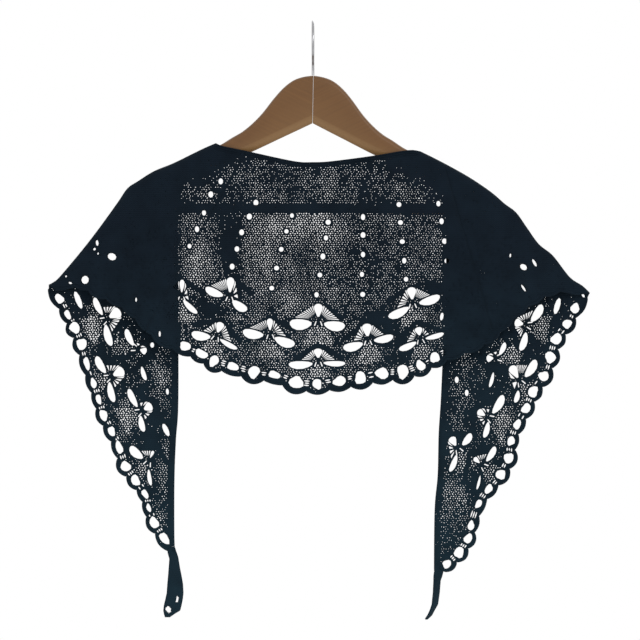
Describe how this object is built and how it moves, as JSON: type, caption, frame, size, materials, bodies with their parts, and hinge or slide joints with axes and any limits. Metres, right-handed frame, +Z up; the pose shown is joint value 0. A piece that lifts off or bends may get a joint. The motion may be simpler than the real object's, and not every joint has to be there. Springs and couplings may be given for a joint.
{
  "type": "lace shawl on a hanger",
  "caption": "Crescent lace shawl with a scalloped hem, folded over the arms of a wooden trouser hanger with a wire hook.",
  "frame": {"origin": "inside top of the hanger's hook, where a rail carries it", "axes": "+Z up, +X to the right of the shawl's front view, +Y from the front of the shawl towards its two hanging ends"},
  "size_m": [0.6446, 0.0504, 0.7141],
  "materials": {
    "yarn": "knitted wool, matte, dark petrol blue",
    "wood": "satin varnished brown wood",
    "wire": "polished wire"
  },
  "bodies": {
    "root": {"front_middle": "yarn", "front_left": "yarn", "front_right": "yarn", "end_left": "yarn", "end_right": "yarn", "tail_left": "yarn", "tail_right": "yarn", "arm_left": "wood", "arm_right": "wood", "bar": "wood", "hook": "wire"}
  },
  "joints": []
}
